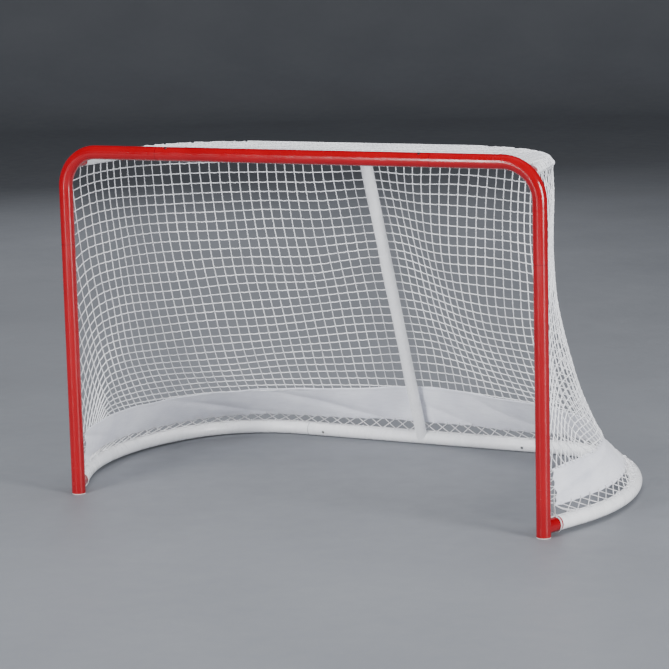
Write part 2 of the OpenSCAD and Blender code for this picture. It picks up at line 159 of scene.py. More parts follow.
TABLE_LOW, TABLE_OVER, TABLE_Z = -0.60, 0.02, 0.008     # below the floor, over the shelf, step
TABLE_REACH, TABLE_S = 3.2, 0.004
WALL_SAMPLES = 1200
STRAIGHT_FROM = 0.12        # the edge runs on in line with this much of the wall behind it


def wall_table():
    """The wall by height z and distance s along its level lines, running on straight past its
    edge."""
    z = np.arange(TABLE_LOW, SHELF_Z + TABLE_OVER, TABLE_Z)
    s = np.arange(0, TABLE_REACH, TABLE_S)
    u = np.linspace(0, 1, WALL_SAMPLES)
    points = np.empty((len(s), len(z), 3))
    edge = np.empty(len(z))
    across = np.empty((len(s), len(z)))
    for k, level in enumerate(z):
        line = inner_wall(u, level + 0 * u, 0.0)
        length = np.concatenate([[0], np.cumsum(np.linalg.norm(np.diff(line, axis=0), axis=1))])
        edge[k] = length[-1]
        for axis in range(3):
            points[:, k, axis] = np.interp(s, length, line[:, axis])
        across[:, k] = np.interp(s, length, u)
        back = np.array([np.interp(edge[k] - STRAIGHT_FROM, length, line[:, axis])
                         for axis in range(3)])
        ahead = (line[-1] - back) / np.linalg.norm(line[-1] - back)
        points[:, k] += np.maximum(s - edge[k], 0)[:, None] * ahead
    return z, points, edge, across


WALL_Z, WALL_POINTS, WALL_EDGE, WALL_ACROSS = wall_table()


def from_table(table, s, z):
    """Value of a table at distances s and heights z, between its grid points."""
    s, z = np.broadcast_arrays(np.asarray(s, float), np.asarray(z, float))
    last = 1.001        # stays just inside the last cell
    i = np.clip(np.abs(s) / TABLE_S, 0, table.shape[0] - last)
    j = np.clip((z - WALL_Z[0]) / TABLE_Z, 0, table.shape[1] - last)
    i0, j0 = i.astype(int), j.astype(int)
    a, b = i - i0, j - j0
    if table.ndim == 3:
        a, b = a[..., None], b[..., None]
    return ((table[i0, j0] * (1 - a) + table[i0 + 1, j0] * a) * (1 - b)
            + (table[i0, j0 + 1] * (1 - a) + table[i0 + 1, j0 + 1] * a) * b)


def edge_s(z):
    """Distance from the middle to the front edge of the wall, along its level line at height z."""
    return np.interp(z, WALL_Z, WALL_EDGE)


def wall(s, z):
    """Points of the wall, s negative on the left."""
    p = from_table(WALL_POINTS, s, z)
    p[..., 0] *= np.where(np.asarray(s) < 0, -1, 1)
    return p


def wall_normal(s, z):
    """Unit vector out of the goal."""
    d = TABLE_Z
    s = np.asarray(s, float)
    limit = edge_s(z) - d
    s = np.clip(s, -limit, limit)
    n = np.cross(wall(s, z + d) - wall(s, z - d), wall(s + d, z) - wall(s - d, z))
    return n / np.maximum(np.linalg.norm(n, axis=-1, keepdims=True), TINY)


def waves(a, b, seed, count=5, low=5.0, high=16.0):
    """Smooth random field, about -1 to 1: count sines of low to high radians a metre."""
    r = np.random.default_rng(seed)
    total = 0
    for _ in range(count):
        k, angle, phase = r.uniform(low, high), r.uniform(0, math.tau), r.uniform(0, math.tau)
        total = total + np.sin(k * (a * math.cos(angle) + b * math.sin(angle)) + phase)
    return total / math.sqrt(count) / 1.3


# ---------------------------------------- mesh building
class Build:
    """Collects vertices, faces and their texture coordinates for one mesh."""

    def __init__(self):
        self.verts, self.faces, self.uvs, self.count = [], [], [], 0

    def add(self, verts, faces, uvs):
        self.verts.append(np.asarray(verts, float))
        self.faces.extend((np.asarray(f) + self.count).tolist() for f in faces)
        self.uvs.extend(uvs)
        self.count += len(verts)

    def tube(self, path, radius, sides=6, closed=False):
        """A round cord along a path of points, capped where it is open."""
        path = np.asarray(path, float)
        n = len(path)
        if closed:
            tangent = np.roll(path, -1, 0) - np.roll(path, 1, 0)
        else:
            tangent = np.gradient(path, axis=0)
        tangent /= np.maximum(np.linalg.norm(tangent, axis=1, keepdims=True), TINY)
        side = np.empty((n, 3))
        v = np.eye(3)[np.argmin(np.abs(tangent[0]))]
        for i in range(n):
            v = v - tangent[i] * (v @ tangent[i])
            v = v / math.sqrt(v @ v)
            side[i] = v
        up = np.cross(tangent, side)
        angle = np.arange(sides) * math.tau / sides
        ring = (side[:, None] * np.cos(angle)[None, :, None]
                + up[:, None] * np.sin(angle)[None, :, None])
        verts = (path[:, None] + ring * radius).reshape(-1, 3)
        length = np.concatenate([[0], np.cumsum(np.linalg.norm(np.diff(path, axis=0), axis=1))])
        m = n if closed else n - 1
        total = length[-1] + (np.linalg.norm(path[0] - path[-1]) if closed else 0)
        i = np.repeat(np.arange(m), sides)
        k = np.tile(np.arange(sides), m)
        i2, k2 = (i + 1) % n, (k + 1) % sides
        faces = np.stack([i * sides + k, i * sides + k2, i2 * sides + k2, i2 * sides + k], 1)
        v1 = length[i]
        v2 = np.where(i + 1 < n, length[np.minimum(i + 1, n - 1)], total)
        uv = np.stack([k / sides, v1, (k + 1) / sides, v1, (k + 1) / sides, v2, k / sides, v2], 1)
        self.add(verts, faces, uv.reshape(-1, 4, 2).tolist())
        if not closed:
            base = self.count - len(verts)
            for row, order in ((0, -1), (n - 1, 1)):
                self.faces.append([base + row * sides + j for j in range(sides)][::order])
                self.uvs.append([[0.5, length[row]]] * sides)

    def copies(self, verts, faces, uvs, places):
        """One shape at many places; places are (n, 4, 3): a centre and three axes."""
        verts = np.asarray(verts, float)
        for place in places:
            self.add(place[0] + verts @ place[1:], faces, uvs)

    def object(self, name, material, slot):
        mesh = bpy.data.meshes.new(name)
        mesh.from_pydata(np.concatenate(self.verts).tolist(), [], self.faces)
        flat = np.array([c for face in self.uvs for c in face], np.float32).ravel()
        mesh.uv_layers.new(name="UVMap").data.foreach_set("uv", flat)
        mesh.polygons.foreach_set("use_smooth", [True] * len(mesh.polygons))
        mesh.update()
        mesh.materials.append(material)
        obj = bpy.data.objects.new(name, mesh)
        bpy.context.scene.collection.objects.link(obj)
        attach(obj, "root")
        return obj


def spline(points, step):
    """Catmull-Rom curve through points, resampled about every step metres."""
    p = np.asarray(points, float)
    q = np.concatenate([[2 * p[0] - p[1]], p, [2 * p[-1] - p[-2]]])
    out = []
    for i in range(1, len(q) - 2):
        n = max(1, int(round(np.linalg.norm(q[i + 1] - q[i]) / step)))
        u = (np.arange(n) / n)[:, None]
        out.append(0.5 * (2 * q[i] + (q[i + 1] - q[i - 1]) * u
                          + (2 * q[i - 1] - 5 * q[i] + 4 * q[i + 1] - q[i + 2]) * u ** 2
                          + (3 * q[i] - q[i - 1] - 3 * q[i + 1] + q[i + 2]) * u ** 3))
    return np.concatenate(out + [p[-1:]])


def helix(centre_line, radius, pitch, phase=0.0):
    """A cord wound round a centre line."""
    steps = 10          # points to a turn
    p = np.asarray(centre_line, float)
    length = np.concatenate([[0], np.cumsum(np.linalg.norm(np.diff(p, axis=0), axis=1))])
    n = max(4, int(length[-1] / pitch * steps))
    s = np.linspace(0, length[-1], n)
    c = np.stack([np.interp(s, length, p[:, i]) for i in range(3)], 1)
    tangent = np.gradient(c, axis=0)
    tangent /= np.linalg.norm(tangent, axis=1, keepdims=True)
    v = np.eye(3)[np.argmin(np.abs(tangent[0]))]
    out = np.empty_like(c)
    for i in range(n):
        v = v - tangent[i] * (v @ tangent[i])
        v = v / np.linalg.norm(v)
        w = np.cross(tangent[i], v)
        a = phase + s[i] / pitch * math.tau
        out[i] = c[i] + radius * (v * math.cos(a) + w * math.sin(a))
    return out


def knot_shape(size, radius, points=12, sides=4):
    """A small knot: a closed twisted loop of twine."""
    b = Build()
    s = np.linspace(0, math.tau, points, endpoint=False)
    path = np.stack([(np.sin(s) + 1.6 * np.sin(2 * s)) / 2.6,
                     (np.cos(s) - 1.6 * np.cos(2 * s)) / 2.6, -0.5 * np.sin(3 * s)], 1) * size
    b.tube(path, radius, sides, closed=True)
    return np.concatenate(b.verts), b.faces, b.uvs


KNOT = knot_shape(0.0030, 0.0018)       # of the net


# ---------------------------------------- materials
def srgb(r, g, b):
    return tuple((c / 255 / 12.92 if c <= 10 else ((c / 255 + 0.055) / 1.055) ** 2.4)
                 for c in (r, g, b)) + (1.0,)


class Look:
    """A node material on one Principled shader."""

    def __init__(self, name, colour, roughness, **sockets):
        self.material = bpy.data.materials.new(name)
        self.material.use_nodes = True
        self.material.diffuse_color = colour
        self.tree = self.material.node_tree
        self.shader = self.tree.nodes["Principled BSDF"]
        self.shader.inputs["Base Color"].default_value = colour
        self.shader.inputs["Roughness"].default_value = roughness
        for key, value in sockets.items():
            self.shader.inputs[key.replace("_", " ")].default_value = value
        self.coords = self.new("ShaderNodeTexCoord")

    def new(self, kind, **props):
        node = self.tree.nodes.new(kind)
        for key, value in props.items():
            setattr(node, key, value)
        return node

    def link(self, a, b):
        self.tree.links.new(a, b)

    def noise(self, scale, detail=3, rough=0.5, source="Object", stretch=None, distortion=0.0):
        node = self.new("ShaderNodeTexNoise")
        node.inputs["Scale"].default_value = scale
        node.inputs["Detail"].default_value = detail
        node.inputs["Roughness"].default_value = rough
        node.inputs["Distortion"].default_value = distortion
        vector = self.coords.outputs[source]
        if stretch:
            mapping = self.new("ShaderNodeMapping")
            mapping.inputs["Scale"].default_value = stretch
            self.link(vector, mapping.inputs["Vector"])
            vector = mapping.outputs["Vector"]
        self.link(vector, node.inputs["Vector"])
        return node.outputs["Fac"]

    def span(self, value, low, high, to_low=0.0, to_high=1.0):
        node = self.new("ShaderNodeMapRange")
        for key, number in (("From Min", low), ("From Max", high),
                            ("To Min", to_low), ("To Max", to_high)):
            node.inputs[key].default_value = number
        self.link(value, node.inputs["Value"])
        return node.outputs["Result"]

    def math(self, kind, a, b=None):
        node = self.new("ShaderNodeMath", operation=kind)
        for i, value in enumerate((a, b)):
            if value is None:
                continue
            if isinstance(value, (int, float)):
                node.inputs[i].default_value = value
            else:
                self.link(value, node.inputs[i])
        return node.outputs["Value"]

    def mix(self, factor, a, b):
        node = self.new("ShaderNodeMix", data_type="RGBA")
        self.link(factor, node.inputs["Factor"])
        for socket, value in ((node.inputs[6], a), (node.inputs[7], b)):
            if isinstance(value, tuple):
                socket.default_value = value
            else:
                self.link(value, socket)
        return node.outputs[2]

    def colour(self, value):
        self.link(value, self.shader.inputs["Base Color"])

    def roughness(self, value):
        self.link(value, self.shader.inputs["Roughness"])

    def bump(self, height, strength, distance, under=None):
        node = self.new("ShaderNodeBump")
        node.inputs["Strength"].default_value = strength
        node.inputs["Distance"].default_value = distance
        self.link(height, node.inputs["Height"])
        if under is not None:
            self.link(under, node.inputs["Normal"])
        self.link(node.outputs["Normal"], self.shader.inputs["Normal"])
        return node.outputs["Normal"]

    def axes(self, source="Object"):
        """The three coordinates, one by one."""
        node = self.new("ShaderNodeSeparateXYZ")
        self.link(self.coords.outputs[source], node.inputs["Vector"])
        return node.outputs


def powder_coat(name, main, shade, dust, scuff, roughness, seams):
    """Glossy powder coat: orange peel, faint unevenness, scuffs that get denser near the ice, and
    grime at the seams; a seam is (axis, distance from zero along it, height)."""
    line_core, line_edge = 0.0006, 0.0016       # half widths of a seam's line
    seam_reach, seam_end = 0.09, 0.10           # how far above and below its height it is painted
    look = Look(name, main, roughness, Coat_Weight=0.25, Coat_Roughness=0.08)
    broad = look.noise(6, 4, 0.6)
    colour = look.mix(look.span(broad, 0.35, 0.7), main, shade)
    specks = look.span(look.noise(260, 3, 0.7), 0.66, 0.74)
    colour = look.mix(look.math("MULTIPLY", specks, 0.35), colour, dust)
    axes = look.axes()
    low = look.span(axes["Z"], 0.0, 0.30, 1.0, 0.15)
    marks = look.span(look.noise(38, 5, 0.75, stretch=(1, 1, 3.5), distortion=0.4), 0.635, 0.70)
    marks = look.math("MULTIPLY", marks, low)
    colour = look.mix(look.math("MULTIPLY", marks, 0.55), colour, scuff)
    for axis, place, height in seams:
        off = look.math("SUBTRACT", look.math("ABSOLUTE", axes[axis]), place)
        off = look.math("ABSOLUTE", off)
        far = look.math("ABSOLUTE", look.math("SUBTRACT", axes["Z"], height))
        line = look.math("MULTIPLY", look.span(off, line_core, line_edge, 0.7, 0.0),
                         look.span(far, seam_reach, seam_end, 1.0, 0.0))
        colour = look.mix(line, colour, scuff)
    look.colour(colour)
    smears = look.noise(22, 4, 0.65, stretch=(1, 1, 0.4))
    rough = look.span(smears, 0.3, 0.75, roughness - 0.05, roughness + 0.12)
    look.roughness(look.math("ADD", rough, look.math("MULTIPLY", marks, 0.25)))
    peel = look.bump(look.noise(430, 2, 0.5), 0.05, 0.0005)
    look.bump(look.math("SUBTRACT", 1.0, marks), 0.25, 0.0004, peel)
    return look.material


def steel_look():
    look = Look("zinc_plated_steel", srgb(188, 190, 194), 0.32, Metallic=1.0)
    grain = look.noise(500, 3, 0.6, stretch=(1, 1, 8))
    tarnish = look.span(look.noise(90, 3), 0.35, 0.7)
    look.colour(look.mix(tarnish, srgb(196, 198, 202), srgb(150, 148, 140)))
    look.roughness(look.span(grain, 0.3, 0.7, 0.24, 0.48))
    look.bump(grain, 0.15, 0.0003)
    return look.material


def cap_look():
    look = Look("grey_cap_plastic", srgb(196, 190, 188), 0.55)
    dirt = look.span(look.noise(60, 5, 0.7), 0.4, 0.7)
    look.colour(look.mix(dirt, srgb(200, 195, 192), srgb(140, 134, 130)))
    look.roughness(look.span(look.noise(30, 3), 0.3, 0.7, 0.45, 0.7))
    look.bump(look.noise(700, 2), 0.2, 0.0003)
    return look.material


def twine_look(name, main, shade, turns):
    """Twisted nylon twine of three strands, which make turns rounds of it a metre."""
    look = Look(name, main, 0.62, Sheen_Weight=0.25, Sheen_Roughness=0.4)
    uv = look.axes("UV")
    along = look.math("MULTIPLY", uv["Y"], turns)
    around = look.math("MULTIPLY", uv["X"], 3.0)
    lay = look.math("SINE", look.math("MULTIPLY", look.math("ADD", along, around), math.tau))
    lay = look.span(lay, -1, 1)
    dirt = look.noise(7, 5, 0.65)
    colour = look.mix(look.span(dirt, 0.4, 0.75), main, shade)
    # painted shade: the grooves between the twisted strands are darkened towards the shade colour
    painted_groove_shade = look.math("MULTIPLY", look.math("SUBTRACT", 1.0, lay), 0.28)
    look.colour(look.mix(painted_groove_shade, colour, shade))
    look.roughness(look.span(look.noise(400, 2), 0.3, 0.7, 0.5, 0.75))
    fuzz = look.bump(look.noise(1500, 2, 0.6), 0.25, 0.0003)
    look.bump(lay, 0.6, 0.0006, fuzz)
    return look.material


def cloth_look():
    """Woven polyester: a plain weave of 1.1 mm, slubs, and a little grey near the ice."""
    weave_repeat = 0.0022
    look = Look("skirt_polyester", srgb(226, 228, 238), 0.5, Sheen_Weight=0.3, Sheen_Roughness=0.35)
    uv = look.axes("UV")
    per_metre = math.tau / weave_repeat
    warp = look.math("SINE", look.math("MULTIPLY", uv["X"], per_metre))
    weft = look.math("SINE", look.math("MULTIPLY", uv["Y"], per_metre))
    weave = look.span(look.math("MULTIPLY", warp, weft), -1, 1)
    broad = look.noise(5, 5, 0.6)
    colour = look.mix(look.span(broad, 0.35, 0.75), srgb(240, 242, 250), srgb(216, 218, 230))
    slub = look.span(look.noise(300, 2, 0.5, "UV", (0.06, 1, 1)), 0.45, 0.7)
    colour = look.mix(look.math("MULTIPLY", slub, 0.25), colour, srgb(196, 198, 210))
    low = look.span(look.axes()["Z"], 0.085, 0.12, 0.30, 0.0)
    colour = look.mix(look.math("MULTIPLY", low, look.span(look.noise(30, 5, 0.7), 0.4, 0.7)),
                      colour, srgb(150, 148, 150))
    look.colour(colour)
    look.roughness(look.span(look.noise(40, 3), 0.3, 0.7, 0.42, 0.62))
    threads = look.bump(weave, 0.35, 0.0003)
    look.bump(look.noise(45, 4, 0.6), 0.25, 0.0015, threads)
    return look.material


def floor_look():
    look = Look("studio_floor", srgb(122, 125, 131), 0.55)
    broad = look.span(look.noise(1.3, 3), 0.3, 0.7)
    look.colour(look.mix(broad, srgb(124, 127, 133), srgb(119, 122, 128)))
    look.roughness(look.span(look.noise(9, 4), 0.3, 0.7, 0.5, 0.62))
    return look.material


RED = powder_coat("red_powder_coat", srgb(150, 0, 17), srgb(138, 0, 14), srgb(172, 26, 38),
                  srgb(84, 2, 8), 0.18,
                  (("X", CROSSBAR_END, CROSSBAR_Z), ("Z", ELBOW_Z, ELBOW_Z)))
WHITE = powder_coat("white_powder_coat", srgb(240, 241, 244), srgb(230, 232, 236),
                    srgb(248, 248, 248), srgb(120, 120, 124), 0.26,
                    (("X", BASE_SEAM_X, 0.03), ("X", SHELF_SEAM_X, 1.24)))
STEEL = steel_look()
CAP = cap_look()
TWINE = twine_look("net_twine", srgb(244, 245, 248), srgb(212, 214, 220), 160.0)
CORD = twine_look("lacing_cord", srgb(238, 238, 240), srgb(184, 184, 190), 110.0)
CLOTH = cloth_look()

LOOKS = {"red_paint": RED, "white_paint": WHITE, "screw_steel": STEEL, "cap_plastic": CAP,
         "netting": TWINE, "skirt_cloth": CLOTH, "lacing_cord": CORD}
for part in frame["record"]["subparts"]:
    mesh = nodes[part["node"]].data
    mesh.materials.clear()
    mesh.materials.append(LOOKS[part["material_slot"]])


# ---------------------------------------- camera
CAMERA_TURN = (0.4313, 0.146, 0.0252)      # yaw, pitch, roll
CAMERA_PLACE = (3.4105, -7.6392, 2.1018)
CAMERA_LENS, CAMERA_SHIFT = 121.8107623, -0.12630792


def make_camera():
    """Camera at the viewing angle: turned by yaw to the left, pitch down and roll clockwise."""
    yaw, pitch, roll = CAMERA_TURN
    forward = np.array([-math.sin(yaw) * math.cos(pitch), math.cos(yaw) * math.cos(pitch),
                        -math.sin(pitch)])
    right = np.array([math.cos(yaw), math.sin(yaw), 0.0])
    down = np.cross(forward, right)
    turned_right = right * math.cos(roll) + down * math.sin(roll)
    turned_down = -right * math.sin(roll) + down * math.cos(roll)
    data = bpy.data.cameras.new("camera")
    data.sensor_width = 36
    data.lens = CAMERA_LENS
    data.shift_y = CAMERA_SHIFT
    data.clip_end = 200
    camera = bpy.data.objects.new("camera", data)
    matrix = Matrix.Identity(4)
    for column, axis in enumerate((turned_right, -turned_down, -forward)):
        for row in range(3):
            matrix[row][column] = axis[row]
    matrix.translation = Vector(CAMERA_PLACE)
    camera.matrix_world = matrix
    bpy.context.scene.collection.objects.link(camera)
    bpy.context.scene.camera = camera


make_camera()


# ---------------------------------------- netting
NET_ROWS, NET_COLUMNS = 46, 70      # more than the wall holds, so that they reach every edge
NET_TOP_Z = SHELF_Z - 0.017         # the first row of knots
NET_LOW_Z = SKIRT_HIGH - 0.004      # the strands end just behind the skirt's top


def lattice(rows, columns):
    """Knots of a net of equal meshes laid on the right half of the wall.

    They are (s, z) by row and column. Row 0 follows the shelf and column 0 runs down the
    middle; every other knot is one mesh from the knot above it and one from the knot beside it.
    """
    march_steps, solve_steps = 12, 14
    least_det, longest_move = 0.05, 0.01        # keep the solution steady where strands line up
    grid = np.zeros((rows, columns, 2))
    grid[0, :, 1] = NET_TOP_Z

    def march(start, index, step):
        here, there = np.array(start, float), np.array(start, float)
        there[index] += step
        for _ in range(march_steps):
            length = np.linalg.norm(wall(*there) - wall(*here))
            there[index] += step * (MESH - length) / abs(step)
        return there

    for j in range(1, columns):
        grid[0, j] = march(grid[0, j - 1], 0, MESH)
    for i in range(1, rows):
        grid[i, 0] = march(grid[i - 1, 0], 1, -MESH)
    for k in range(2, rows + columns - 1):
        i = np.arange(max(1, k - columns + 1), min(rows - 1, k - 1) + 1)
        j = k - i
        a, b, c = grid[i, j - 1], grid[i - 1, j], grid[i - 1, j - 1]
        pa, pb = wall(a[:, 0], a[:, 1]), wall(b[:, 0], b[:, 1])
        x = a + b - c

        def miss(p):
            q = wall(p[:, 0], p[:, 1])
            return np.stack([np.linalg.norm(q - pa, axis=1) - MESH,
                             np.linalg.norm(q - pb, axis=1) - MESH], 1)

        d = 1e-4
        for _ in range(solve_steps):
            f = miss(x)
            fs, fz = (miss(x + [d, 0]) - f) / d, (miss(x + [0, d]) - f) / d
            det = fs[:, 0] * fz[:, 1] - fz[:, 0] * fs[:, 1]
            det = np.where(np.abs(det) < least_det, np.where(det < 0, -least_det, least_det), det)
            move = np.stack([f[:, 0] * fz[:, 1] - fz[:, 0] * f[:, 1],
                             fs[:, 0] * f[:, 1] - f[:, 0] * fs[:, 1]], 1) / det[:, None]
            x = x - np.clip(move, -longest_move, longest_move)
        grid[i, j] = x
    return grid


def settle(grid):
    """The net as it hangs: near the posts its rows run down to them, more so lower down."""
    level_rows, more_each_row = 3, 0.0078       # the drop at the post starts below these rows
    fall, bend, far = 0.82, 0.05, 1.6           # slope near the post, how softly it sets in
    swell_height, swell_fade, swell_from, swell_wave = 0.010, 16, 0.19, 0.9
    rows, columns = grid.shape[:2]
    out = np.empty_like(grid)
    reach = 2.3
    s = np.linspace(0, reach, 1400)
    for i in range(rows):
        z = np.interp(s, grid[i, :, 0], grid[i, :, 1])
        room = edge_s(z) - s
        over = more_each_row * max(i - level_rows, 0) - fall * room
        drop = 0.5 * (over + np.sqrt(over ** 2 + bend ** 2))
        drop -= 0.5 * (-far + math.sqrt(far ** 2 + bend ** 2))
        swell = swell_height * math.exp(-i / swell_fade)
        swell = swell * np.cos((room - swell_from) * math.tau / swell_wave)
        z = z - drop + swell * smooth(-1.1, -0.8, -room) * min(i / level_rows, 1)
        p = wall(s, z)
        length = np.concatenate([[0], np.cumsum(np.linalg.norm(np.diff(p, axis=0), axis=1))])
        at = np.arange(columns) * MESH
        out[i, :, 0] = np.interp(at, length, s)
        out[i, :, 1] = np.interp(at, length, z)
        out[i, at > length[-1], 0] = reach + at[at > length[-1]] - length[-1]
    return out


def on_net(s, z, side):
    """Points of the net: on the wall, with the slack of real netting."""
    s, z = np.asarray(s, float), np.asarray(z, float)
    p = wall(s * side, z)
    p[..., 0] = np.abs(p[..., 0]) * side
    n = wall_normal(s, z) * [side, 1, 1]
    held, held_low = 0.15, 0.12         # how far from an edge the slack sets in
    billow, uneven_z, uneven_x = 0.007, 0.0045, 0.0030
    free = smooth(0, held, edge_s(z) - s) * smooth(SKIRT_HIGH, SKIRT_HIGH + held_low, z)
    free = free * smooth(0, held, SHELF_Z - z)
    s = s * side
    p = p + n * (billow * waves(s, z, 3) * free)[..., None]
    p[..., 2] += uneven_z * waves(s, z, 11, 6, 6.0, 26.0) * free
    p[..., 0] += uneven_x * waves(s, z, 17, 6, 6.0, 26.0) * free
    return p


def clip_line(line):
    """The runs of an (s, z) line that are on the net, cut where it meets the post or the skirt."""
    room = np.stack([edge_s(line[:, 1]) - line[:, 0], line[:, 1] - NET_LOW_Z], 1)
    inside = (room >= 0).all(1)
    runs, run = [], []

    def crossing(p, q):
        """The cut between point p on the net and point q off it."""
        shares = [room[p, k] / (room[p, k] - room[q, k]) for k in (0, 1) if room[q, k] < 0]
        return line[p] + (line[q] - line[p]) * min(shares)

    for k in range(len(line)):
        if inside[k]:
            if not run and k and not inside[k - 1]:
                run.append(crossing(k, k - 1))
            run.append(line[k])
        elif run:
            run.append(crossing(k - 1, k))
            runs.append(np.array(run))
            run = []
    if len(run) > 1:
        runs.append(np.array(run))
    return runs


def strand(points, droop):
    """The points with one more between each two, hanging a little."""
    p = np.asarray(points)
    middle = (p[1:] + p[:-1]) / 2
    step = p[1:] - p[:-1]
    flat = 1 - np.abs(step[:, 2]) / np.maximum(np.linalg.norm(step, axis=1), TINY)
    middle[:, 2] -= droop * flat * rng.uniform(0.4, 1.4, len(middle))
    out = np.empty((len(p) * 2 - 1, 3))
    out[::2], out[1::2] = p, middle
    return out


def knot_places(centres, ahead, beside):
    """Frames for knots, each turned a little at random."""
    places = []
    for c, a, b in zip(centres, ahead, beside):
        a = a / max(np.linalg.norm(a), TINY)
        n = np.cross(a, b)
        n = n / max(np.linalg.norm(n), TINY)
        spin = rng.uniform(-0.5, 0.5)
        x = a * math.cos(spin) + np.cross(n, a) * math.sin(spin)
        y = np.cross(n, x)
        size = rng.uniform(0.9, 1.12)
        places.append(np.stack([c, x * size, y * size, n * size]))
    return places


def add_line(builds, line, side, droop):
    """A strand of the net, shared out between the rear and the side panel."""
    places = on_net(line[:, 0], line[:, 1], side)
    in_rear = from_table(WALL_ACROSS, *((line[1:] + line[:-1]) / 2).T) < PANEL_T
    start = 0
    for k in range(1, len(in_rear) + 1):
        if k == len(in_rear) or in_rear[k] != in_rear[start]:
            b = builds["rear"] if in_rear[start] else builds["left" if side < 0 else "right"]
            b.tube(strand(places[start:k + 1], droop), TWINE_R)
            start = k


def make_wall_net():
    """The net on the wall, in three panels, with a cord along its front edges."""
    row_droop, edge_gap = 0.0016, 0.004
    grid = settle(lattice(NET_ROWS, NET_COLUMNS))
    builds = {"rear": Build(), "left": Build(), "right": Build()}
    for side in (-1, 1):
        for i in range(1, grid.shape[0]):
            for line in clip_line(grid[i]):
                add_line(builds, line, side, row_droop)
        for j in range(grid.shape[1]):
            if j == 0 and side < 0:
                continue
            for line in clip_line(grid[:, j]):
                add_line(builds, line, side, 0.0)
        ok = (grid[..., 0] < edge_s(grid[..., 1]) - edge_gap) & (grid[..., 1] > SKIRT_HIGH)
        ok[0] = False
        if side < 0:
            ok[:, 0] = False
        i, j = np.nonzero(ok)
        points = on_net(grid[..., 0], grid[..., 1], side)
        ahead = points[i, np.minimum(j + 1, grid.shape[1] - 1)] - points[i, j]
        beside = points[i, j] - points[i - 1, j]
        places = knot_places(points[i, j], ahead, beside)
        rear = from_table(WALL_ACROSS, grid[i, j, 0], grid[i, j, 1]) < PANEL_T
        for panel in ("rear", "side"):
            mine = [p for p, r in zip(places, rear) if r == (panel == "rear")]
            b = builds["rear"] if panel == "rear" else builds["left" if side < 0 else "right"]
            b.copies(*KNOT, mine)
        border = np.linspace(0.075, SHELF_Z - 0.01, 60)
        wobble = 0.0022 * waves(border * 3, border * 0, 23 + side, 4, 8, 30)
        path = wall(edge_s(border) * side, border)
        path[:, 1] += wobble
        builds["left" if side < 0 else "right"].tube(path, BORDER_R)
    for key, node, name in (("rear", "net_back", "rear_netting"),
                            ("left", "net_left", "left_netting"),
                            ("right", "net_right", "right_netting")):
        obj = builds[key].object(name, TWINE, "netting")
        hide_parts(node)
    return grid


net_grid = make_wall_net()


def shelf_outline(out):
    """Plan of the shelf tube's axis moved outwards, from its left end to its right end."""
    s = np.linspace(0, SHELF_LEN, 241)
    x, y = run_point(SHELF_RUN, s, out)
    y = y + SHELF_REAR_Y
    return np.concatenate([np.stack([-x, y], 1)[::-1], np.stack([x, y], 1)[1:]])


